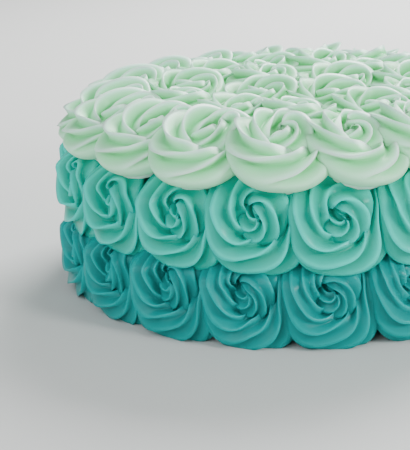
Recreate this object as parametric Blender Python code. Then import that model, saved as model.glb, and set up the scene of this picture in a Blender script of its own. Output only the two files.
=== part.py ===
"""A round two-layer chocolate cake covered all over in piped buttercream rosettes.

Metres, +Z up. The origin is the middle of the cake's flat underside, and -Y is its front.
Each rosette is a star-tip rope of buttercream, piped once round a small circle and laid
against the cake, so its six ridges run over the rope as a twisted star. The rosettes stand in
five rings: two round the wall, one over the top edge and two on the flat top. Those of one ring
merge where they touch.
"""

import math
import random
from collections import namedtuple

import bmesh
import bpy
from mathutils import Vector

# The cake under the buttercream: two 8 inch layers with a filling
CAKE_RADIUS = 0.1015
CAKE_HEIGHT = 0.0800
CAKE_SIDES = 38

# The top edge slumps in one long bend, which the rosettes along it follow. The middle of those
# rosettes lies this far out, where the bend faces this far up from level.
EDGE_RADIUS = 0.0925
EDGE_TILT = 73.0
EDGE_BEND_RADIUS = 0.0660
EDGE_STEPS = 3

# Each solid stays this far from its neighbours, and the flat facets of a rosette's back stay
# this far above the round cake
GAP = 0.0003
BACK_GAP = 0.0009
# A ring is cut back this far from the plain shape of the rosettes that overhang it
CLEARANCE = 0.0018

# One rosette: fractions of its rope's thickness or of its half width, and the ridges on the rope
VALLEY_DEPTH = 0.30
CENTRE_SHIFT = 0.17
SPIRAL_GROWTH = 0.10
TEETH = 6
FOOT_REACH = 0.80
CENTRE_RISE = 1.62

# How unevenly the rings were piped
TURN_SPREAD = 0.7
LIFT_SPREAD = 0.0007
SIZE_SPREAD = 0.035
LEAN_SPREAD = 14.0
SEED = 23

# Ridge and valley follow each other at this angle, round the rosette and round the rope alike
STEP = 180 / TEETH
SIDES = 2 * TEETH
ROPE_STEPS = range(4)

# Joining adds slivers, so each joined ring is thinned to about this many triangles a rosette, and
# the plain ring that cuts another one to fewer
TRIANGLES_EACH = 134
CUTTER_TRIANGLES_EACH = 84

# A ring's rosettes stand on their middles, at this radius and height and tilted up this far
Ring = namedtuple(
    "Ring",
    "name count first_turn radius height tilt half_width half_height rope squareness free_lean colour",
)


def edge_height(radius):
    """The height of the bent top edge of the cake at this radius."""
    middle = math.radians(90 - EDGE_TILT)
    crown = EDGE_RADIUS - EDGE_BEND_RADIUS * math.sin(middle)
    across = max(radius - crown, 0.0)
    return CAKE_HEIGHT - EDGE_BEND_RADIUS + math.sqrt(EDGE_BEND_RADIUS**2 - across**2)


RINGS = (
    Ring("lower_rosettes", 19, 7.5, CAKE_RADIUS, 0.0228, 0, 0.0216, 0.0250, 0.43, 3.2, False, "#00A09A"),
    Ring("middle_rosettes", 19, 9.5, CAKE_RADIUS, 0.0572, 0, 0.0222, 0.0226, 0.47, 2.7, False, "#58B9A8"),
    Ring(
        "edge_rosettes", 18, -5.0, EDGE_RADIUS, edge_height(EDGE_RADIUS), EDGE_TILT,
        0.0218, 0.0234, 0.39, 2.4, False, "#B7D6C3",
    ),
    Ring("top_rosettes", 11, 2.0, 0.0570, CAKE_HEIGHT, 90, 0.0206, 0.0206, 0.40, 2.5, True, "#BFDCCA"),
    Ring("centre_rosettes", 4, 35.0, 0.0236, CAKE_HEIGHT, 90, 0.0210, 0.0210, 0.40, 2.4, True, "#BFDCCA"),
)

CAKE_COLOUR = "#2B1712"
BUTTERCREAM_ROUGHNESS = 0.42
CAKE_ROUGHNESS = 0.9
# Edges sharper than this, in degrees, stay sharp in smooth shading
SHARP_ANGLE = 35


def clear_scene():
    for thing in list(bpy.data.objects):
        bpy.data.objects.remove(thing, do_unlink=True)


def linear(hex_colour):
    """An sRGB hex colour as linear RGBA."""
    parts = [int(hex_colour[i : i + 2], 16) / 255 for i in (1, 3, 5)]
    return [c / 12.92 if c <= 0.04045 else ((c + 0.055) / 1.055) ** 2.4 for c in parts] + [1.0]


def food_material(name, hex_colour, roughness):
    material = bpy.data.materials.new(name)
    material.use_nodes = True
    shader = material.node_tree.nodes["Principled BSDF"]
    shader.inputs["Base Color"].default_value = linear(hex_colour)
    shader.inputs["Roughness"].default_value = roughness
    shader.inputs["Metallic"].default_value = 0.0
    material.diffuse_color = linear(hex_colour)
    return material


def new_object(name, mesh_builder, collection):
    mesh = bpy.data.meshes.new(name)
    bmesh.ops.recalc_face_normals(mesh_builder, faces=mesh_builder.faces)
    mesh_builder.to_mesh(mesh)
    mesh_builder.free()
    made = bpy.data.objects.new(name, mesh)
    collection.objects.link(made)
    return made


def square_off(angle, squareness):
    """How far a rounded square reaches at this angle, where a circle reaches 1."""
    across = abs(math.cos(angle)) ** squareness
    up = abs(math.sin(angle)) ** squareness
    return (across + up) ** (-1 / squareness)


def rosette_point(ring, reach, around, rise, lean):
    """A rosette's own point: across, up along the cake and out from it, in half widths.

    The rope's turn widens towards its tail, presses square against its neighbours and has its
    middle shifted up from the outline's middle.
    """
    turned = ((around - lean) / math.tau) % 1.0
    reach *= 1 + SPIRAL_GROWTH * (turned - 0.5)
    reach *= 1 + (square_off(around, ring.squareness) - 1) * min(reach, 1.0)
    shift = CENTRE_SHIFT * (1 - min(reach, 1.0) ** 2)
    across = reach * math.cos(around) - shift * math.sin(lean)
    up = reach * math.sin(around) + shift * math.cos(lean)
    return across, up, rise


def rope_loop(ring, step, lean, spin, grow, plain):
    """The points round one rosette that lie this many steps over its rope from the outside.

    A ridge moves on by one point at each step, so it winds inwards as it goes round.
    """
    section = math.radians(step * STEP)
    points = []
    for i in range(SIDES):
        ridge = plain or (i - step) % 2 == 0
        thick = ring.rope * (1.0 if ridge else 1.0 - VALLEY_DEPTH) + grow / ring.half_width
        reach = (1 - ring.rope) + thick * math.cos(section)
        around = math.radians(i * STEP + spin)
        rise = ring.rope + thick * math.sin(section)
        points.append(rosette_point(ring, reach, around, rise, lean))
    return points


def foot_loop(ring, lean, spin, grow):
    """The corners of the rosette's back, one under each ridge, just clear of the cake."""
    extra = grow / ring.half_width
    rise = BACK_GAP / ring.half_width - extra
    turns = [math.radians(i * STEP + spin) for i in range(0, SIDES, 2)]
    return [rosette_point(ring, FOOT_REACH + extra, around, rise, lean) for around in turns]


def bent_path(ring, up):
    """Where a point this far up along the cake lies: radius, height and the tilt there."""
    tilt = math.radians(ring.tilt)
    if not 0 < ring.tilt < 90:
        return ring.radius - up * math.sin(tilt), ring.height + up * math.cos(tilt), tilt
    there = min(tilt + up / EDGE_BEND_RADIUS, math.pi / 2)
    flat = up - (there - tilt) * EDGE_BEND_RADIUS
    radius = ring.radius - EDGE_BEND_RADIUS * (math.cos(tilt) - math.cos(there)) - flat
    height = ring.height + EDGE_BEND_RADIUS * (math.sin(there) - math.sin(tilt))
    return radius, height, there


def place(ring, turn, lift, size, point):
    """A rosette's own point in the cake's frame. A side ring's rosettes bend round the wall."""
    across = point[0] * ring.half_width * size
    out = point[2] * ring.half_width * size
    radius, height, tilt = bent_path(ring, point[1] * ring.half_height * size)
    radius += out * math.cos(tilt)
    height += out * math.sin(tilt)
    if ring.tilt == 0:
        turn += across / (ring.radius + ring.rope * ring.half_width)
        across = 0.0
        height = max(height + lift, 0.0)
    side = Vector((math.cos(turn), math.sin(turn), 0))
    outward = Vector((math.sin(turn), -math.cos(turn), 0))
    return outward * radius + side * across + Vector((0, 0, height))


def rosette(ring, number, draw, grow, plain, collection):
    """One closed rosette: its back, the loops of points over the rope and its centre."""
    turn = math.radians(
        ring.first_turn + number * 360.0 / ring.count + draw.uniform(-TURN_SPREAD, TURN_SPREAD)
    )
    lift = draw.uniform(-LIFT_SPREAD, LIFT_SPREAD)
    size = 1 + draw.uniform(-SIZE_SPREAD, SIZE_SPREAD)
    lean = math.radians(draw.uniform(-LEAN_SPREAD, LEAN_SPREAD))
    if ring.free_lean:
        lean = math.radians(draw.uniform(0, 360))
    spin = draw.uniform(0, 2 * STEP)
    build = bmesh.new()

    def vertex(point):
        return build.verts.new(place(ring, turn, lift, size, point))

    loops = [
        [vertex(point) for point in rope_loop(ring, step, lean, spin, grow, plain)]
        for step in ROPE_STEPS
    ]
    for outer, inner in zip(loops, loops[1:]):
        for i in range(SIDES):
            j = (i + 1) % SIDES
            # Ridge meets ridge and valley meets valley along this side of both triangles
            build.faces.new((outer[i], outer[j], inner[j]))
            build.faces.new((outer[i], inner[j], inner[i]))
    extra = grow / ring.half_width
    shift = CENTRE_SHIFT * math.sin(lean), CENTRE_SHIFT * math.cos(lean)
    middle = vertex((-shift[0], shift[1], ring.rope * CENTRE_RISE + extra))
    back_middle = vertex((0.0, 0.0, BACK_GAP / ring.half_width - extra))
    feet = [vertex(point) for point in foot_loop(ring, lean, spin, grow)]
    for i in range(SIDES):
        build.faces.new((loops[-1][i], loops[-1][(i + 1) % SIDES], middle))
    for i, foot in enumerate(feet):
        beside = feet[(i + 1) % TEETH]
        ridge, valley, next_ridge = (loops[0][(2 * i + k) % SIDES] for k in range(3))
        build.faces.new((foot, valley, ridge))
        build.faces.new((foot, beside, valley))
        build.faces.new((beside, next_ridge, valley))
        build.faces.new((foot, back_middle, beside))
    return new_object(f"{ring.name}_{number:02d}", build, collection)


def turned_solid(name, profile, sides, collection):
    """A closed solid of revolution about the cake's axis, from its half outline."""
    build = bmesh.new()
    points = [build.verts.new((0, 0, profile[0][1]))]
    for radius, height in profile:
        points.append(build.verts.new((radius, 0, height)))
    points.append(build.verts.new((0, 0, profile[-1][1])))
    edges = [build.edges.new(pair) for pair in zip(points, points[1:])]
    bmesh.ops.spin(
        build,
        geom=points + edges,
        axis=(0, 0, 1),
        cent=(0, 0, 0),
        angle=math.tau,
        steps=sides,
        use_duplicate=False,
    )
    bmesh.ops.remove_doubles(build, verts=build.verts, dist=1e-6)
    return new_object(name, build, collection)


def cake_solid(collection):
    """The cake itself: a straight wall, a slumped top edge and a flat top and underside."""
    outer = CAKE_RADIUS - GAP
    crown = EDGE_RADIUS - EDGE_BEND_RADIUS * math.cos(math.radians(EDGE_TILT))
    profile = [(outer, 0.0)]
    for step in range(EDGE_STEPS + 1):
        radius = outer + (crown - outer) * step / EDGE_STEPS
        profile.append((radius, edge_height(radius) - GAP))
    return turned_solid("cake", profile, CAKE_SIDES, collection)


def applied(thing):
    """The thing's mesh with its modifiers worked in."""
    shaped = bpy.data.meshes.new_from_object(
        thing.evaluated_get(bpy.context.evaluated_depsgraph_get())
    )
    thing.modifiers.clear()
    thing.data = shaped


def combine(base, operation, others):
    """One Boolean with a whole collection, applied, with the collection's objects removed."""
    step = base.modifiers.new(operation.lower(), "BOOLEAN")
    step.operation = operation
    step.operand_type = "COLLECTION"
    step.collection = others
    step.solver = "EXACT"
    applied(base)
    for cutter in list(others.objects):
        bpy.data.objects.remove(cutter, do_unlink=True)
    bpy.data.collections.remove(others)


def thin(thing, triangles):
    """Collapse the shortest edges until about this many triangles are left."""
    sides = sum(len(face.vertices) - 2 for face in thing.data.polygons)
    step = thing.modifiers.new("thin", "DECIMATE")
    step.ratio = min(1.0, triangles / sides)
    applied(thing)


def working_collection(name):
    made = bpy.data.collections.new(name)
    bpy.context.scene.collection.children.link(made)
    return made


def ring_solid(ring, grow, plain, collection):
    """All rosettes of a ring, joined into one solid."""
    draw = random.Random(f"{SEED} {ring.name}")
    first = rosette(ring, 0, draw, grow, plain, collection)
    others = working_collection(f"{ring.name} to join")
    for number in range(1, ring.count):
        rosette(ring, number, draw, grow, plain, others)
    combine(first, "UNION", others)
    thin(first, ring.count * (CUTTER_TRIANGLES_EACH if plain else TRIANGLES_EACH))
    first.name = ring.name
    return first


def keep_main_body(thing):
    """Drop loose scraps, and fill hollows that joining has sealed."""
    build = bmesh.new()
    build.from_mesh(thing.data)
    unseen = set(build.faces)
    bodies = []
    while unseen:
        body = {unseen.pop()}
        front = list(body)
        while front:
            face = front.pop()
            for edge in face.edges:
                for beside in edge.link_faces:
                    if beside in unseen:
                        unseen.remove(beside)
                        body.add(beside)
                        front.append(beside)
        bodies.append(body)
    bodies.sort(key=lambda body: sum(face.calc_area() for face in body))
    scraps = [face for body in bodies[:-1] for face in body]
    bmesh.ops.delete(build, geom=scraps, context="FACES")
    bmesh.ops.dissolve_degenerate(build, dist=1e-6, edges=build.edges)
    bmesh.ops.triangulate(build, faces=build.faces)
    build.to_mesh(thing.data)
    build.free()


def finish(thing, material):
    thing.data.materials.clear()
    thing.data.materials.append(material)
    thing.data.shade_smooth()
    thing.data.set_sharp_from_angle(angle=math.radians(SHARP_ANGLE))


def make_ring(ring, above):
    """A ring of rosettes, cut back from the ring that overhangs it."""
    made = ring_solid(ring, 0.0, False, bpy.context.scene.collection)
    if above:
        cutters = working_collection(f"{ring.name} cutter")
        ring_solid(above, CLEARANCE, True, cutters)
        combine(made, "DIFFERENCE", cutters)
    keep_main_body(made)
    finish(made, food_material(f"{ring.name} buttercream", ring.colour, BUTTERCREAM_ROUGHNESS))


def main():
    clear_scene()
    cake = cake_solid(bpy.context.scene.collection)
    finish(cake, food_material("chocolate cake", CAKE_COLOUR, CAKE_ROUGHNESS))
    lower, middle, edge, top, centre = RINGS
    for ring, above in ((lower, middle), (middle, edge), (edge, None), (top, edge), (centre, top)):
        make_ring(ring, above)


main()
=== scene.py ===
"""A layer cake piped all over in buttercream rosettes, shading from teal to pale mint.

Metres, +Z up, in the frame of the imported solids: the cake stands on z = 0 and -Y is its front.
Geometry Nodes pipe each ring's rosettes flat, in half widths of a rosette, and lay_on_cake puts
them on the wall, over the top edge or on the top, where the ring's solid is.
"""

import math
import random
from typing import NamedTuple

import bpy
import numpy as np
from mathutils import Matrix, Vector


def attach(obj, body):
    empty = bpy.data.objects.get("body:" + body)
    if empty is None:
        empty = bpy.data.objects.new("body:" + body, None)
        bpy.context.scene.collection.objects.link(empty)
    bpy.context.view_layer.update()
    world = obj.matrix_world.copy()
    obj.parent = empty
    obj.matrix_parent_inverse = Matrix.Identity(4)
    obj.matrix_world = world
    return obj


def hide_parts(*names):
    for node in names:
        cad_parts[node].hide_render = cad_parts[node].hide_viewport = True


bl_info = {
    "name": "Rosette layer cake",
    "version": (1, 0, 0),
    "blender": (4, 5, 0),
    "location": "3D View > Sidebar > Cake",
    "description": "Pipes a layer cake all over in buttercream rosettes",
    "category": "Object",
}

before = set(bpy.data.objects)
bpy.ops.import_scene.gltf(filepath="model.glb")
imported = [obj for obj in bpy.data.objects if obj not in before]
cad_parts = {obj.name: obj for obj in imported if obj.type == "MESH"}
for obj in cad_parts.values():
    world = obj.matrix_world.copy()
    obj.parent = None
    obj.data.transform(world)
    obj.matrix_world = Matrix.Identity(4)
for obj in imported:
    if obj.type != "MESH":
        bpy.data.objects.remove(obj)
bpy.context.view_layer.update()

# The cake under the buttercream, in metres and degrees. Its top edge is rounded off, and the
# edge rosettes sit where the bend faces up by EDGE_TILT.
CAKE_RADIUS = 0.1015
CAKE_HEIGHT = 0.0800
EDGE_RADIUS = 0.0925
EDGE_TILT = 73.0
EDGE_BEND_RADIUS = 0.0660
EDGE_SLOPE = math.radians(90 - EDGE_TILT)
EDGE_CROWN = EDGE_RADIUS - EDGE_BEND_RADIUS * math.sin(EDGE_SLOPE)
EDGE_HEIGHT = CAKE_HEIGHT - EDGE_BEND_RADIUS * (1 - math.cos(EDGE_SLOPE))

# The sponge's mesh: points round it, steps up its side and rings across its top
SPONGE_POINTS = 240
SPONGE_STEPS = 32
SPONGE_RINGS = 24

# How unevenly the rings were piped, in degrees, metres and shares of a rosette's size
TURN_SPREAD = 0.7
LIFT_SPREAD = 0.0007
SIZE_SPREAD = 0.035
LEAN_SPREAD = 14.0
SEED = 23

# What a rosette's rope bends round, from its start in the middle to its tail, in half widths:
# across, up, out from the cake, and how thick the rope is there.
# On top and over the edge the bud in the middle lies across.
TOP_ROPE = (
    (-0.24, 0.20, 0.16, 0.16), (-0.12, 0.08, 0.34, 0.27), (0.06, 0.00, 0.42, 0.33),
    (0.27, 0.04, 0.42, 0.37), (0.40, 0.24, 0.41, 0.39), (0.40, 0.54, 0.41, 0.40),
    (0.28, 0.82, 0.42, 0.37), (0.0, 0.90, 0.43, 0.36), (-0.32, 0.74, 0.43, 0.39),
    (-0.54, 0.42, 0.43, 0.42), (-0.62, 0.06, 0.43, 0.42), (-0.54, -0.29, 0.43, 0.42),
    (-0.30, -0.55, 0.42, 0.42), (0.05, -0.64, 0.41, 0.40), (0.42, -0.59, 0.38, 0.38),
    (0.71, -0.36, 0.33, 0.32), (0.85, -0.02, 0.25, 0.23), (0.92, 0.30, 0.12, 0.06),
)
# On the wall the bud is a tight coil, and the tail climbs beside the next rosette
SIDE_ROPE = (
    (-0.12, 0.22, 0.16, 0.14), (-0.16, 0.06, 0.32, 0.24), (-0.04, -0.10, 0.40, 0.30),
    (0.15, -0.12, 0.42, 0.34), (0.30, 0.04, 0.41, 0.35), (0.32, 0.30, 0.41, 0.35),
    (0.20, 0.56, 0.42, 0.35), (-0.06, 0.69, 0.43, 0.35), (-0.36, 0.62, 0.43, 0.37),
    (-0.55, 0.38, 0.43, 0.39), (-0.60, 0.04, 0.43, 0.39), (-0.52, -0.29, 0.43, 0.40),
    (-0.30, -0.55, 0.42, 0.41), (0.02, -0.64, 0.41, 0.40), (0.36, -0.60, 0.40, 0.38),
    (0.64, -0.40, 0.40, 0.34), (0.78, -0.06, 0.40, 0.29), (0.82, 0.30, 0.34, 0.24),
    (0.82, 0.66, 0.14, 0.08),
)
# Where the middle of the swirl lies
SWIRL_MIDDLE = (0.05, 0.20, 0.0)

# How far the star tip may be turned about itself, in radians: all the way
TIP_TURN = 6.28
# The scale of the noise that the rope wavers by, and of the noise that its tail is torn by
WAVERS = 0.9
TEARS = 11.0
# The tail is torn inwards most where its noise is as low as this, and outwards where it is as high
TEAR_NOISE = (0.3, 0.7)
# The middle of a noise's colour, and what takes the height off a place
NOISE_MIDDLE = (0.5, 0.5, 0.5)
LEVEL = (1.0, 1.0, 0.0)

# Round the rope from one ridge to the next, how deep the valley is: a steep drop, then a long rise
VALLEY = ((0.0, 0.0), (0.10, 0.84), (0.22, 1.0), (0.45, 0.88), (0.75, 0.50), (0.9, 0.22), (1.0, 0.0))

# How far the surface faces up, less a share of how far it faces outwards, tells where the star's
# valleys are pressed in: not at all at the first value, and fully at the second
OUTWARD_SHARE = 0.5
PRESSED = (-0.32, 0.22)
# There are no valleys where the rope is as thin as the first value, and full ones from the second
GROOVED = (0.05, 0.16)
# The tail is torn most where it is as thin as the first value, and not at all from the second
TORN = (0.12, 0.30)
# It starts this far across a rosette, and is torn fully from the second value
TAIL_ACROSS = (0.4, 0.6)

# How high the dab of icing under a rosette stands, in half widths, and the mesh of its ball
BED_HEIGHT = 0.26
BED_SEGMENTS = 20
BED_RINGS = 10

# A rosette's left side stands out this much more than its middle, over the tail of the last one,
# and its right side this much less
LEFT_PROUD = 0.10
# A rosette's top is pressed together more and more from this far up, in half heights
SQUEEZED_FROM = 0.50
SQUEEZE = 0.50
SQUEEZE_REACH = 0.40
# From here to the end of the reach it sinks under the ring above it
TUCKED_FROM = 0.28
TUCK_REACH = 0.56
# A rosette on the wall keeps its width where it stands this far out, in half widths
WIDTH_DEPTH = 0.45

# Painted shade in a valley: how much deeper each buttercream's colour is painted there, as a power of it
TEAL_VALLEY_SHADE = 1.2
TURQUOISE_VALLEY_SHADE = 1.8
MINT_VALLEY_SHADE = 2.8
PALE_MINT_VALLEY_SHADE = 2.9
# The smooth icing low on the outside has this much of a valley's painted shade
SMOOTH_PAINTED_SHADE = 0.38
# How much lighter than its colour the icing's body is, and the painted highlight on its thin crests, for
# light that glints off them and shines through them
BODY_LIGHT = 1.15
CREST_PAINTED_HIGHLIGHT = 1.35
# How much of the painted highlight a ridge has along its top, and the shade at which the highlight ends
HIGHLIGHT_SHARE = 0.8
HIGHLIGHT_END = 0.45
# The crumb between the sponge's pores has this share of the sponge's colour
CRUMB_LIGHT = 0.5

# What repeats in each pattern, as parts of a metre: 6.3, 1.8 and 1.1 mm. Icing sugar is far finer
# than that, and is drawn as coarse as it needs to show.
SPONGE_PIT = 1 / 160
SPONGE_PORE = 1 / 550
SUGAR_GRAIN = 1 / 900

# The colour sockets of a Mix node
MIX_SHARE, MIX_A, MIX_B = 0, 6, 7
MIX_RESULT = 2

# The camera: the photograph's viewing angle
CAMERA_PLACE = (0.0, -0.63971, 0.22507)
CAMERA_FORWARD = (-0.07114, 0.95029, -0.30313)
CAMERA_UP = (0.01857, 0.3051, 0.95214)
CAMERA_LENS = 105.42
CAMERA_SENSOR = 36.0

# How far the floor reaches, in metres, and how strong the light from all round is
FLOOR_REACH = 4.0
ALL_ROUND_STRENGTH = 0.50


class Ring(NamedTuple):
    """A ring of like rosettes, in metres and degrees.

    node: the solid that it stands for
    count, first_turn: how many rosettes it has, and the first one's turn from the front
    radius, height, tilt: where a rosette's middle lies, and how far it faces up, from 0 on the
        wall to 90 on the top
    half_width, half_height: a rosette's size
    squareness: the power of its outline; 2 is round
    tuck: how far its top sinks under the ring above it, as a share of its depth
    bed: how wide the dab of icing under it is, in half widths
    ridges, groove: how many ridges the star tip has, and how deep the valleys between them are,
        as a share of the rope's thickness
    rope: what the rope bends round
    free_lean: whether a rosette may be turned any way about its middle
    """

    node: str
    count: int
    first_turn: float
    radius: float
    height: float
    tilt: float
    half_width: float
    half_height: float
    squareness: float
    tuck: float
    bed: float
    ridges: int
    groove: float
    rope: tuple
    free_lean: bool


LOWER = Ring(
    node="lower_rosettes", count=19, first_turn=7.5, radius=CAKE_RADIUS, height=0.0228, tilt=0,
    half_width=0.0216, half_height=0.0250, squareness=3.0, tuck=0.97, bed=0.66,
    ridges=8, groove=0.34, rope=SIDE_ROPE, free_lean=False,
)
MIDDLE = Ring(
    node="middle_rosettes", count=19, first_turn=9.5, radius=CAKE_RADIUS, height=0.0562, tilt=0,
    half_width=0.0222, half_height=0.0236, squareness=2.7, tuck=0.75, bed=0.72,
    ridges=6, groove=0.42, rope=SIDE_ROPE, free_lean=False,
)
EDGE = Ring(
    node="edge_rosettes", count=18, first_turn=-5.0, radius=EDGE_RADIUS, height=EDGE_HEIGHT, tilt=EDGE_TILT,
    half_width=0.0218, half_height=0.0226, squareness=2.2, tuck=0.0, bed=0.85,
    ridges=6, groove=0.50, rope=TOP_ROPE, free_lean=False,
)
TOP = Ring(
    node="top_rosettes", count=11, first_turn=2.0, radius=0.0570, height=CAKE_HEIGHT, tilt=90,
    half_width=0.0206, half_height=0.0206, squareness=2.2, tuck=0.0, bed=1.25,
    ridges=6, groove=0.44, rope=TOP_ROPE, free_lean=True,
)
CENTRE = Ring(
    node="centre_rosettes", count=4, first_turn=35.0, radius=0.0236, height=CAKE_HEIGHT, tilt=90,
    half_width=0.0210, half_height=0.0210, squareness=2.2, tuck=0.0, bed=1.40,
    ridges=6, groove=0.44, rope=TOP_ROPE, free_lean=True,
)


def linear(hex_colour):
    """An sRGB hex colour as linear RGB."""
    parts = [int(hex_colour[i : i + 2], 16) / 255 for i in (1, 3, 5)]
    return [c / 12.92 if c <= 0.04045 else ((c + 0.055) / 1.055) ** 2.4 for c in parts]


def add(tree, kind, sockets=None, **settings):
    """A node with its settings; each socket gets a value, an output or a node's first output."""
    made = tree.nodes.new(kind)
    for name, value in settings.items():
        setattr(made, name, value)
    for key, value in (sockets or {}).items():
        if isinstance(value, bpy.types.Node):
            value = value.outputs[0]
        if isinstance(value, bpy.types.NodeSocket):
            tree.links.new(value, made.inputs[key])
        else:
            made.inputs[key].default_value = value
    return made


def new_object(name, data):
    """An object with this data, linked to the scene."""
    made = bpy.data.objects.new(name, data)
    bpy.context.scene.collection.objects.link(made)
    return made


def new_material(name):
    """A material, its node tree and its shader."""
    material = bpy.data.materials.new(name)
    material.use_nodes = True
    return material, material.node_tree, material.node_tree.nodes["Principled BSDF"]


class PipingSettings(bpy.types.PropertyGroup):
    """How the cake is piped and how its sponge looks"""

    rope_steps: bpy.props.IntProperty(
        name="Rope steps", description="Cross-sections along one rosette's rope", default=100, min=24
    )
    rope_points: bpy.props.IntProperty(
        name="Points round", description="Points round one rosette's rope", default=48, min=24
    )
    crumb_depth: bpy.props.FloatProperty(
        name="Crumb depth", description="How deep the sponge's pits are", subtype="DISTANCE", default=0.0012
    )
    tear: bpy.props.FloatProperty(
        name="Tear", description="How ragged a rosette's tail is, in half widths", default=0.035
    )
    unevenness: bpy.props.FloatProperty(
        name="Unevenness", description="How far the piping wavers, in half widths", default=0.10
    )


class ShadeSettings(bpy.types.PropertyGroup):
    """The shades of the buttercream and the sponge"""

    lower: bpy.props.FloatVectorProperty(
        name="Lower row",
        description="Buttercream of the lower row",
        subtype="COLOR",
        default=linear("#008F8C"),
    )
    middle: bpy.props.FloatVectorProperty(
        name="Middle row",
        description="Buttercream of the middle row",
        subtype="COLOR",
        default=linear("#10C0B0"),
    )
    edge: bpy.props.FloatVectorProperty(
        name="Top edge",
        description="Buttercream over the top edge",
        subtype="COLOR",
        default=linear("#BCEFCE"),
    )
    top: bpy.props.FloatVectorProperty(
        name="Top",
        description="Buttercream of the flat top",
        subtype="COLOR",
        default=linear("#AEE8C2"),
    )
    sponge: bpy.props.FloatVectorProperty(
        name="Sponge",
        description="The cake in the gaps",
        subtype="COLOR",
        default=linear("#2B1712"),
    )


def buttercream(name, colour, valley_shade_power):
    """American buttercream, beaten smooth and piped: soft gloss, light that soaks in a few millimetres and
    bleeds through the thin ridges, painted shade in the valleys and a painted highlight along the ridge tops,
    and the faint grain of icing sugar."""
    material, tree, shader = new_material(name)
    place = add(tree, "ShaderNodeTexCoord").outputs["Object"]
    # How far in a valley each point lies: it sets where the shade and the highlight are painted
    valley = add(tree, "ShaderNodeAttribute", attribute_name="shade").outputs["Fac"]
    # The colour for the valleys is a painted shade, and the one along the ridge tops a painted highlight; the
    # body is the icing's own colour
    deep = (*(c**valley_shade_power for c in colour), 1.0)
    body = (*(min(c * BODY_LIGHT, 1.0) for c in colour), 1.0)
    painted_highlight = (*(min(c * CREST_PAINTED_HIGHLIGHT, 1.0) for c in colour), 1.0)
    shade = add(tree, "ShaderNodeMix", {MIX_SHARE: valley, MIX_A: body, MIX_B: deep}, data_type="RGBA")
    share = add(
        tree, "ShaderNodeMapRange",
        {"Value": valley, "From Min": 0.0, "From Max": HIGHLIGHT_END, "To Min": HIGHLIGHT_SHARE, "To Max": 0.0},
    )
    shade = add(
        tree, "ShaderNodeMix", {MIX_SHARE: share, MIX_A: shade.outputs[MIX_RESULT], MIX_B: painted_highlight},
        data_type="RGBA",
    )
    tree.links.new(shade.outputs[MIX_RESULT], shader.inputs["Base Color"])
    shader.inputs["Roughness"].default_value = 0.30
    shader.inputs["IOR"].default_value = 1.46
    shader.inputs["Specular IOR Level"].default_value = 0.15
    shader.inputs["Subsurface Weight"].default_value = 0.35
    shader.inputs["Subsurface Radius"].default_value = (0.6, 1.0, 0.9)
    shader.inputs["Subsurface Scale"].default_value = 0.004
    grain = add(tree, "ShaderNodeTexNoise", {"Vector": place, "Scale": 1 / SUGAR_GRAIN, "Detail": 2.0})
    bump = add(tree, "ShaderNodeBump", {"Height": grain, "Strength": 0.12, "Distance": 0.0004})
    tree.links.new(bump.outputs[0], shader.inputs["Normal"])
    return material


def chocolate_sponge(colour):
    """Chocolate sponge: matt, nearly black in the gaps, with an open crumb."""
    material, tree, shader = new_material("Chocolate sponge")
    place = add(tree, "ShaderNodeTexCoord").outputs["Object"]
    crumb = add(tree, "ShaderNodeTexVoronoi", {"Vector": place, "Scale": 1 / SPONGE_PORE})
    dark = (*(c * CRUMB_LIGHT for c in colour), 1.0)
    body = add(
        tree, "ShaderNodeMix", {MIX_SHARE: crumb, MIX_A: (*colour, 1.0), MIX_B: dark}, data_type="RGBA"
    )
    tree.links.new(body.outputs[MIX_RESULT], shader.inputs["Base Color"])
    shader.inputs["Roughness"].default_value = 0.9
    bump = add(tree, "ShaderNodeBump", {"Height": crumb, "Strength": 0.8, "Distance": 0.001})
    tree.links.new(bump.outputs[0], shader.inputs["Normal"])
    return material


def new_tree(name, sockets):
    """A Geometry Nodes tree with these inputs, and the outputs that give them inside it."""
    tree = bpy.data.node_groups.new(name, "GeometryNodeTree")
    tree.is_modifier = True
    tree.interface.new_socket("Geometry", in_out="OUTPUT", socket_type="NodeSocketGeometry")
    tree.interface.new_socket("Geometry", in_out="INPUT", socket_type="NodeSocketGeometry")
    for label, kind in sockets.items():
        tree.interface.new_socket(label, in_out="INPUT", socket_type=f"NodeSocket{kind}")
    return tree, add(tree, "NodeGroupInput").outputs


def end_tree(tree, shape, material):
    """The end of a tree: smooth and real faces of one material."""
    shape = add(tree, "GeometryNodeSetShadeSmooth", {"Geometry": shape})
    shape = add(tree, "GeometryNodeRealizeInstances", {"Geometry": shape})
    shape = add(tree, "GeometryNodeSetMaterial", {"Geometry": shape, "Material": material})
    add(tree, "NodeGroupOutput", {"Geometry": shape})


def rounded_height(tree, place, radius, height):
    """How high a point of the standing cake is once its top edge is rounded off: every height
    shrinks as the cake's top does at that radius."""
    across = add(tree, "ShaderNodeMath", {0: radius, 1: EDGE_CROWN}, operation="SUBTRACT", use_clamp=True)
    drop = add(tree, "ShaderNodeMath", {0: across, 1: across}, operation="MULTIPLY")
    drop = add(tree, "ShaderNodeMath", {0: EDGE_BEND_RADIUS**2, 1: drop}, operation="SUBTRACT")
    drop = add(tree, "ShaderNodeMath", {0: drop}, operation="SQRT")
    drop = add(tree, "ShaderNodeMath", {0: EDGE_BEND_RADIUS, 1: drop}, operation="SUBTRACT")
    share = add(tree, "ShaderNodeMath", {0: drop, 1: height}, operation="DIVIDE")
    share = add(tree, "ShaderNodeMath", {0: 1.0, 1: share}, operation="SUBTRACT")
    half = add(tree, "ShaderNodeMath", {0: height, 1: 0.5}, operation="MULTIPLY")
    raised = add(tree, "ShaderNodeSeparateXYZ", {0: place}).outputs["Z"]
    raised = add(tree, "ShaderNodeMath", {0: raised, 1: half}, operation="ADD")
    raised = add(tree, "ShaderNodeMath", {0: raised, 1: share}, operation="MULTIPLY")
    return add(tree, "ShaderNodeMath", {0: raised, 1: 0.0}, operation="MAXIMUM")


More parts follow.
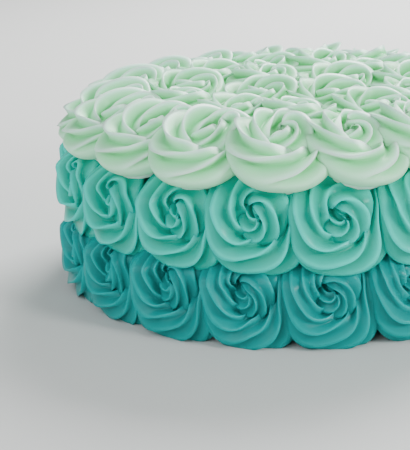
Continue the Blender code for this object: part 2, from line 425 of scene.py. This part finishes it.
def sponge_tree():
    """Turns the cake: a cylinder whose top edge is rounded off, with a pitted crumb."""
    tree, given = new_tree(
        "Turned sponge", {"Radius": "Float", "Height": "Float", "Crumb depth": "Float", "Sponge": "Material"}
    )
    body = add(
        tree, "GeometryNodeMeshCylinder",
        {
            "Vertices": SPONGE_POINTS, "Side Segments": SPONGE_STEPS, "Fill Segments": SPONGE_RINGS,
            "Radius": given["Radius"], "Depth": given["Height"],
        },
        fill_type="TRIANGLE_FAN",
    )
    place = add(tree, "GeometryNodeInputPosition")
    pit = add(tree, "ShaderNodeTexVoronoi", {"Vector": place, "Scale": 1 / SPONGE_PIT})
    pit = add(tree, "ShaderNodeMath", {0: pit, 1: given["Crumb depth"]}, operation="MULTIPLY")
    pit = add(tree, "ShaderNodeMath", {0: pit, 1: -1.0}, operation="MULTIPLY")
    normal = add(tree, "GeometryNodeInputNormal")
    inward = add(tree, "ShaderNodeVectorMath", {0: normal, "Scale": pit}, operation="SCALE")
    body = add(tree, "GeometryNodeSetPosition", {"Geometry": body, "Offset": inward})

    flat = add(tree, "ShaderNodeVectorMath", {0: place, 1: LEVEL}, operation="MULTIPLY")
    radius = add(tree, "ShaderNodeVectorMath", {0: flat}, operation="LENGTH").outputs["Value"]
    height = rounded_height(tree, place, radius, given["Height"])
    raised = add(tree, "ShaderNodeCombineXYZ", {"Z": height})
    raised = add(tree, "ShaderNodeVectorMath", {0: flat, 1: raised}, operation="ADD")
    body = add(tree, "GeometryNodeSetPosition", {"Geometry": body, "Position": raised})
    end_tree(tree, body, given["Sponge"])
    return tree


def rope_path(rows):
    """The smooth line that a rosette's rope follows, as a curve object."""
    curve = bpy.data.curves.new("Rope path", "CURVE")
    curve.dimensions = "3D"
    spline = curve.splines.new("NURBS")
    spline.points.add(len(rows) - 1)
    for point, (across, up, out, thickness) in zip(spline.points, rows):
        point.co = (across, up, out, 1.0)
        point.radius = thickness
    spline.order_u = 4
    spline.use_endpoint_u = True
    return new_object("Rope path", curve)


def wavering_lines(tree, given, places, rosette):
    """One smooth line for every rosette, each wavering in its own way."""
    line = add(tree, "GeometryNodeObjectInfo", {"Object": given["Rope path"]}).outputs["Geometry"]
    line = add(tree, "GeometryNodeResampleCurve", {"Curve": line, "Count": given["Rope steps"]})
    line = add(
        tree, "GeometryNodeStoreNamedAttribute",
        {"Geometry": line, "Name": "thickness", "Value": add(tree, "GeometryNodeInputRadius")},
        data_type="FLOAT", domain="POINT",
    )
    lines = add(tree, "GeometryNodeInstanceOnPoints", {"Points": places, "Instance": line})
    lines = add(tree, "GeometryNodeRealizeInstances", {"Geometry": lines})
    place = add(tree, "GeometryNodeInputPosition")
    waver = add(
        tree, "ShaderNodeTexNoise", {"Vector": place, "W": rosette, "Scale": WAVERS, "Detail": 0.0},
        noise_dimensions="4D",
    ).outputs["Color"]
    waver = add(tree, "ShaderNodeVectorMath", {0: waver, 1: NOISE_MIDDLE}, operation="SUBTRACT")
    waver = add(tree, "ShaderNodeVectorMath", {0: waver, "Scale": given["Unevenness"]}, operation="SCALE")
    return add(tree, "GeometryNodeSetPosition", {"Geometry": lines, "Offset": waver})


def turned_against_tip(tree, given, lines, rosette):
    """The lines, tilted back by as much as they turn, so that the star keeps its own turn."""
    lines = add(tree, "GeometryNodeSetCurveNormal", {"Curve": lines}, mode="Z_UP")
    tooth = add(
        tree, "FunctionNodeRandomValue", {2: 0.0, 3: TIP_TURN, "ID": rosette, "Seed": given["Seed"]},
        data_type="FLOAT",
    ).outputs[1]
    heading = add(tree, "ShaderNodeSeparateXYZ", {0: add(tree, "GeometryNodeInputTangent")}).outputs
    heading = add(tree, "ShaderNodeMath", {0: heading["Y"], 1: heading["X"]}, operation="ARCTAN2")
    tilt = add(tree, "ShaderNodeMath", {0: tooth, 1: heading}, operation="SUBTRACT")
    return add(tree, "GeometryNodeSetCurveTilt", {"Curve": lines, "Tilt": tilt})


def star_profile(tree, given):
    """A round cross-section whose points know how deep the star's valley is there."""
    ring = add(tree, "GeometryNodeCurvePrimitiveCircle", {"Resolution": given["Points round"], "Radius": 1.0})
    ridge = add(tree, "GeometryNodeSplineParameter").outputs["Factor"]
    ridge = add(tree, "ShaderNodeMath", {0: ridge, 1: given["Ridges"]}, operation="MULTIPLY")
    ridge = add(tree, "ShaderNodeMath", {0: ridge}, operation="FRACT")
    valley = add(tree, "ShaderNodeFloatCurve", {"Value": ridge})
    line = valley.mapping.curves[0]
    line.points[0].location = VALLEY[0]
    line.points[1].location = VALLEY[-1]
    for point in VALLEY[1:-1]:
        line.points.new(*point)
    valley.mapping.update()
    return add(
        tree, "GeometryNodeStoreNamedAttribute", {"Geometry": ring, "Name": "valley", "Value": valley},
        data_type="FLOAT", domain="POINT",
    )


def pressed_share(tree, normal):
    """How far the valleys are pressed in: not at all low on the outside, where icing spreads smooth."""
    place = add(tree, "GeometryNodeInputPosition")
    outward = add(tree, "ShaderNodeVectorMath", {0: place, 1: SWIRL_MIDDLE}, operation="SUBTRACT")
    outward = add(tree, "ShaderNodeVectorMath", {0: outward, 1: LEVEL}, operation="MULTIPLY")
    outward = add(tree, "ShaderNodeVectorMath", {0: outward}, operation="NORMALIZE")
    outward = add(tree, "ShaderNodeVectorMath", {0: outward, 1: normal}, operation="DOT_PRODUCT")
    outward = add(tree, "ShaderNodeMath", {0: outward.outputs["Value"], 1: 0.0}, operation="MAXIMUM")
    upward = add(tree, "ShaderNodeSeparateXYZ", {0: normal}).outputs["Z"]
    share = add(tree, "ShaderNodeMath", {0: outward, 1: -OUTWARD_SHARE, 2: upward}, operation="MULTIPLY_ADD")
    return add(tree, "ShaderNodeMapRange", {"Value": share, "From Min": PRESSED[0], "From Max": PRESSED[1]})


def torn_tail(tree, given, rosette, thickness, depth):
    """This depth, torn in and out a little along the thin tail, where the tip lifts off."""
    place = add(tree, "GeometryNodeInputPosition")
    torn = add(
        tree, "ShaderNodeTexNoise", {"Vector": place, "W": rosette, "Scale": TEARS, "Detail": 1.0},
        noise_dimensions="4D",
    )
    torn = add(
        tree, "ShaderNodeMapRange",
        {"Value": torn, "From Min": TEAR_NOISE[0], "From Max": TEAR_NOISE[1], "To Min": -1.0, "To Max": 1.0},
    )
    tail = add(
        tree, "ShaderNodeMapRange",
        {
            "Value": thickness, "From Min": TORN[0], "From Max": TORN[1], "To Min": given["Tear"],
            "To Max": 0.0,
        },
    )
    across = add(tree, "ShaderNodeSeparateXYZ", {0: place}).outputs["X"]
    right = add(
        tree, "ShaderNodeMapRange", {"Value": across, "From Min": TAIL_ACROSS[0], "From Max": TAIL_ACROSS[1]}
    )
    tail = add(tree, "ShaderNodeMath", {0: tail, 1: right}, operation="MULTIPLY")
    return add(tree, "ShaderNodeMath", {0: torn, 1: tail, 2: depth}, operation="MULTIPLY_ADD")


def piping_tree():
    """Pipes a rosette for each point of the mesh: a ridged rope along a spiral, on a dab of icing.

    The star tip doesn't turn while it goes round, so the star turns against the rope, and each
    ridge winds from the outside over the rope into the middle.
    """
    tree, given = new_tree(
        "Piped rosettes",
        {
            "Rope path": "Object", "Rope steps": "Int", "Ridges": "Int", "Points round": "Int",
            "Ridge depth": "Float", "Unevenness": "Float", "Tear": "Float", "Bed": "Vector", "Seed": "Int",
            "Buttercream": "Material",
        },
    )
    places = add(
        tree, "GeometryNodeStoreNamedAttribute",
        {"Geometry": given["Geometry"], "Name": "rosette", "Value": add(tree, "GeometryNodeInputIndex")},
        data_type="INT", domain="POINT",
    )
    rosette = add(tree, "GeometryNodeInputNamedAttribute", {"Name": "rosette"}, data_type="INT")
    thickness = add(tree, "GeometryNodeInputNamedAttribute", {"Name": "thickness"}, data_type="FLOAT")
    valley = add(tree, "GeometryNodeInputNamedAttribute", {"Name": "valley"}, data_type="FLOAT")
    normal = add(tree, "GeometryNodeInputNormal")

    # A plain round rope along each line
    lines = wavering_lines(tree, given, places, rosette)
    lines = turned_against_tip(tree, given, lines, rosette)
    piped = add(
        tree, "GeometryNodeCurveToMesh",
        {"Curve": lines, "Profile Curve": star_profile(tree, given), "Scale": thickness, "Fill Caps": True},
    )

    # How far each point is in a valley, for the material's painted shade in the valleys and painted highlight
    # along the ridge tops
    pressed = pressed_share(tree, normal)
    shade = add(tree, "ShaderNodeMath", {0: valley, 1: SMOOTH_PAINTED_SHADE}, operation="SUBTRACT")
    shade = add(tree, "ShaderNodeMath", {0: shade, 1: pressed, 2: SMOOTH_PAINTED_SHADE}, operation="MULTIPLY_ADD")
    piped = add(
        tree, "GeometryNodeStoreNamedAttribute", {"Geometry": piped, "Name": "shade", "Value": shade},
        data_type="FLOAT", domain="POINT",
    )

    # The valleys pressed in and the tail torn
    thick = add(
        tree, "ShaderNodeMapRange", {"Value": thickness, "From Min": GROOVED[0], "From Max": GROOVED[1]}
    )
    depth = valley
    for factor in (pressed, thick, thickness, given["Ridge depth"], -1.0):
        depth = add(tree, "ShaderNodeMath", {0: depth, 1: factor}, operation="MULTIPLY")
    depth = torn_tail(tree, given, rosette, thickness, depth)
    pushed = add(tree, "ShaderNodeVectorMath", {0: normal, "Scale": depth}, operation="SCALE")
    piped = add(tree, "GeometryNodeSetPosition", {"Geometry": piped, "Offset": pushed})

    bed = add(tree, "GeometryNodeMeshUVSphere", {"Segments": BED_SEGMENTS, "Rings": BED_RINGS, "Radius": 1.0})
    beds = add(
        tree, "GeometryNodeInstanceOnPoints", {"Points": places, "Instance": bed, "Scale": given["Bed"]}
    )
    joined = add(tree, "GeometryNodeJoinGeometry", {"Geometry": piped})
    tree.links.new(beds.outputs[0], joined.inputs[0])
    end_tree(tree, joined, given["Buttercream"])
    return tree


def draws(ring):
    """Each rosette's turn about the cake, lift, size and lean, as the solids draw them."""
    draw = random.Random(f"{SEED} {ring.node}")
    rows = []
    for number in range(ring.count):
        turn = ring.first_turn + number * 360.0 / ring.count + draw.uniform(-TURN_SPREAD, TURN_SPREAD)
        lift = draw.uniform(-LIFT_SPREAD, LIFT_SPREAD)
        size = 1 + draw.uniform(-SIZE_SPREAD, SIZE_SPREAD)
        lean = draw.uniform(-LEAN_SPREAD, LEAN_SPREAD)
        if ring.free_lean:
            lean = draw.uniform(0, 360)
        # The solids draw the star tip's turn here
        draw.uniform(0, 1)
        rows.append((math.radians(turn), lift, size, math.radians(lean)))
    return np.array(rows)


def bent_path(ring, up):
    """Where points this far up along the cake lie: radius, height and the tilt there."""
    tilt = math.radians(ring.tilt)
    if not 0 < ring.tilt < 90:
        return ring.radius - up * math.sin(tilt), ring.height + up * math.cos(tilt), np.full_like(up, tilt)
    there = np.minimum(tilt + up / EDGE_BEND_RADIUS, math.pi / 2)
    flat = up - (there - tilt) * EDGE_BEND_RADIUS
    radius = ring.radius - EDGE_BEND_RADIUS * (math.cos(tilt) - np.cos(there)) - flat
    height = ring.height + EDGE_BEND_RADIUS * (np.sin(there) - math.sin(tilt))
    return radius, height, there


def fitted(ring, points, lean):
    """Points of flat rosettes, shaped to their place in the ring and still in half widths."""
    x, y, z = points.T
    z = z * (1 - LEFT_PROUD * np.clip(x, -1, 1))
    over = np.maximum(y - SQUEEZED_FROM, 0)
    y = y - SQUEEZE * over**2 / (over + SQUEEZE_REACH)
    x, y = x * np.cos(lean) - y * np.sin(lean), x * np.sin(lean) + y * np.cos(lean)
    around = np.arctan2(y, x)
    power = ring.squareness
    square = (np.abs(np.cos(around)) ** power + np.abs(np.sin(around)) ** power) ** (-1 / power)
    wider = 1 + (square - 1) * np.minimum(np.hypot(x, y), 1.0)
    x, y = x * wider, y * wider
    tucked = np.clip((y - TUCKED_FROM) / TUCK_REACH, 0, 1)
    z = z * (1 - ring.tuck * tucked**2 * (3 - 2 * tucked))
    return x, y, z


def lay_on_cake(ring, points, number):
    """Points of flat rosettes, in half widths, where they lie on the cake, in metres."""
    turn, lift, size, lean = draws(ring)[number].T
    x, y, z = fitted(ring, points, lean)
    across = x * ring.half_width * size
    out = z * ring.half_width * size
    radius, height, tilt = bent_path(ring, y * ring.half_height * size)
    radius = radius + out * np.cos(tilt)
    height = height + out * np.sin(tilt)
    if ring.tilt == 0:
        turn = turn + across / (ring.radius + WIDTH_DEPTH * ring.half_width)
        across = np.zeros_like(across)
        height = np.maximum(height + lift, 0.0)
    right = np.sin(turn) * radius + np.cos(turn) * across
    back = -np.cos(turn) * radius + np.sin(turn) * across
    return np.stack((right, back, height), axis=1)


def bake(made, tree, values):
    """Runs a node tree on an object with these inputs and keeps the result as its plain mesh."""
    step = made.modifiers.new(tree.name, "NODES")
    step.node_group = tree
    for item in tree.interface.items_tree:
        if item.in_out == "INPUT" and item.name in values:
            step[item.identifier] = values[item.name]
    depsgraph = bpy.context.evaluated_depsgraph_get()
    shaped = bpy.data.meshes.new_from_object(made.evaluated_get(depsgraph), depsgraph=depsgraph)
    made.modifiers.clear()
    made.data = shaped
    if not shaped.polygons:
        raise RuntimeError(f"{made.name}: {tree.name} made nothing")


def pipe(name, ring, material):
    """A ring of piped rosettes as one plain mesh."""
    settings = bpy.context.scene.cake_piping
    mesh = bpy.data.meshes.new(name)
    mesh.from_pydata([(0, 0, 0)] * ring.count, [], [])
    made = new_object(name, mesh)
    path = rope_path(ring.rope)
    values = {
        "Rope path": path,
        "Rope steps": settings.rope_steps,
        "Ridges": ring.ridges,
        "Points round": settings.rope_points,
        "Ridge depth": ring.groove,
        "Unevenness": settings.unevenness,
        "Tear": settings.tear,
        "Bed": (ring.bed, ring.bed, BED_HEIGHT),
        "Seed": SEED + ring.count,
        "Buttercream": material,
    }
    bake(made, bpy.data.node_groups.get("Piped rosettes") or piping_tree(), values)
    bpy.data.objects.remove(path)
    shaped = made.data
    points = np.empty(len(shaped.vertices) * 3)
    shaped.vertices.foreach_get("co", points)
    number = np.empty(len(shaped.vertices), int)
    shaped.attributes["rosette"].data.foreach_get("value", number)
    shaped.vertices.foreach_set("co", lay_on_cake(ring, points.reshape(-1, 3), number).ravel())
    shaped.update()
    return made


def settle(piece, slot, *nodes):
    """The piece rides on the cake and stands for these solids."""
    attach(piece, "root")
    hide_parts(*nodes)


class CAKE_OT_sponge(bpy.types.Operator):
    """The chocolate cake that shows in the gaps"""

    bl_idname = "cake.sponge"
    bl_label = "Sponge"

    def execute(self, context):
        made = new_object("chocolate_cake", bpy.data.meshes.new("chocolate_cake"))
        values = {
            "Radius": CAKE_RADIUS,
            "Height": CAKE_HEIGHT,
            "Crumb depth": context.scene.cake_piping.crumb_depth,
            "Sponge": chocolate_sponge(context.scene.cake_shades.sponge),
        }
        bake(made, sponge_tree(), values)
        settle(made, "cake", "cake")
        return {"FINISHED"}


class CAKE_OT_lower_row(bpy.types.Operator):
    """The deep teal rosettes round the foot"""

    bl_idname = "cake.lower_row"
    bl_label = "Lower row"

    def execute(self, context):
        material = buttercream("Teal buttercream", context.scene.cake_shades.lower, TEAL_VALLEY_SHADE)
        settle(pipe("teal_rosettes", LOWER, material), "lower_buttercream", LOWER.node)
        return {"FINISHED"}


class CAKE_OT_middle_row(bpy.types.Operator):
    """The turquoise rosettes round the wall"""

    bl_idname = "cake.middle_row"
    bl_label = "Middle row"

    def execute(self, context):
        material = buttercream("Turquoise buttercream", context.scene.cake_shades.middle, TURQUOISE_VALLEY_SHADE)
        settle(pipe("turquoise_rosettes", MIDDLE, material), "middle_buttercream", MIDDLE.node)
        return {"FINISHED"}


class CAKE_OT_edge_ring(bpy.types.Operator):
    """The mint rosettes that hang over the top edge"""

    bl_idname = "cake.edge_ring"
    bl_label = "Top edge"

    def execute(self, context):
        material = buttercream("Mint buttercream", context.scene.cake_shades.edge, MINT_VALLEY_SHADE)
        settle(pipe("mint_edge_rosettes", EDGE, material), "edge_buttercream", EDGE.node)
        return {"FINISHED"}


class CAKE_OT_top(bpy.types.Operator):
    """The pale mint rosettes on the flat top"""

    bl_idname = "cake.top"
    bl_label = "Top"

    def execute(self, context):
        material = buttercream("Pale mint buttercream", context.scene.cake_shades.top, PALE_MINT_VALLEY_SHADE)
        settle(pipe("mint_top_rosettes", TOP, material), "top_buttercream", TOP.node)
        settle(pipe("mint_centre_rosettes", CENTRE, material), "top_buttercream", CENTRE.node)
        return {"FINISHED"}


def lay_floor():
    """The plain pale floor, level with the cake's foot."""
    reach = FLOOR_REACH
    mesh = bpy.data.meshes.new("floor")
    corners = [(-reach, -reach, 0), (reach, -reach, 0), (reach, reach, 0), (-reach, reach, 0)]
    mesh.from_pydata(corners, [], [(0, 1, 2, 3)])
    floor = new_object("floor", mesh)
    paint, _, shader = new_material("Pale floor")
    shader.inputs["Base Color"].default_value = (*linear("#CFD0CE"), 1.0)
    shader.inputs["Roughness"].default_value = 0.8
    mesh.materials.append(paint)


def light(name, place, aim, size, power, colour="#FFFFFF"):
    """A soft square lamp at a place, turned to where it aims."""
    lamp = bpy.data.lights.new(name, "AREA")
    lamp.size = size
    lamp.energy = power
    lamp.color = linear(colour)
    made = new_object(name, lamp)
    made.location = place
    made.rotation_euler = (Vector(aim) - Vector(place)).to_track_quat("-Z", "Y").to_euler()


def light_stage():
    """A soft light from behind, a wide fill from the left front, a small lamp at the right front,
    and pale light from all round."""
    light("behind", place=(0.45, 1.0, 0.95), aim=(0, 0, 0.06), size=0.8, power=48)
    light("fill", place=(-0.8, -1.1, 0.8), aim=(0, 0, 0.05), size=1.6, power=20, colour="#F8FAFF")
    light("right front", place=(0.80, -0.60, 0.50), aim=(0, -0.05, 0.05), size=0.25, power=9)
    world = bpy.data.worlds.new("All round")
    world.use_nodes = True
    background = world.node_tree.nodes["Background"]
    background.inputs["Color"].default_value = (*linear("#E6E8E8"), 1.0)
    background.inputs["Strength"].default_value = ALL_ROUND_STRENGTH
    bpy.context.scene.world = world


def place_camera():
    """The camera at the photograph's viewing angle."""
    lens = bpy.data.cameras.new("camera")
    lens.lens = CAMERA_LENS
    lens.sensor_width = CAMERA_SENSOR
    camera = new_object("camera", lens)
    forward = Vector(CAMERA_FORWARD).normalized()
    up = Vector(CAMERA_UP).normalized()
    turned = Matrix((forward.cross(up), up, -forward)).transposed().to_4x4()
    camera.matrix_world = Matrix.Translation(CAMERA_PLACE) @ turned
    bpy.context.scene.camera = camera


class CAKE_OT_stage(bpy.types.Operator):
    """The floor, the lights and the camera"""

    bl_idname = "cake.stage"
    bl_label = "Stage"

    def execute(self, context):
        lay_floor()
        light_stage()
        place_camera()
        return {"FINISHED"}


class CAKE_PT_panel(bpy.types.Panel):
    """The cake's pieces and settings"""

    bl_label = "Rosette cake"
    bl_idname = "CAKE_PT_panel"
    bl_space_type = "VIEW_3D"
    bl_region_type = "UI"
    bl_category = "Cake"

    def draw(self, context):
        for group in (context.scene.cake_piping, context.scene.cake_shades):
            for name in group.__annotations__:
                self.layout.prop(group, name)
        for operator in OPERATORS:
            self.layout.operator(operator.bl_idname)


OPERATORS = (
    CAKE_OT_sponge, CAKE_OT_lower_row, CAKE_OT_middle_row, CAKE_OT_edge_ring, CAKE_OT_top, CAKE_OT_stage,
)
CLASSES = (PipingSettings, ShadeSettings, *OPERATORS, CAKE_PT_panel)


def register():
    """Adds the settings, the operators and the panel."""
    for item in CLASSES:
        bpy.utils.register_class(item)
    bpy.types.Scene.cake_piping = bpy.props.PointerProperty(type=PipingSettings)
    bpy.types.Scene.cake_shades = bpy.props.PointerProperty(type=ShadeSettings)


def unregister():
    """Takes them away again."""
    del bpy.types.Scene.cake_piping
    del bpy.types.Scene.cake_shades
    for item in reversed(CLASSES):
        bpy.utils.unregister_class(item)


def main():
    """Makes the cake and its stage."""
    register()
    bpy.ops.cake.sponge()
    bpy.ops.cake.lower_row()
    bpy.ops.cake.middle_row()
    bpy.ops.cake.edge_ring()
    bpy.ops.cake.top()
    bpy.ops.cake.stage()


if __name__ == "__main__":
    main()
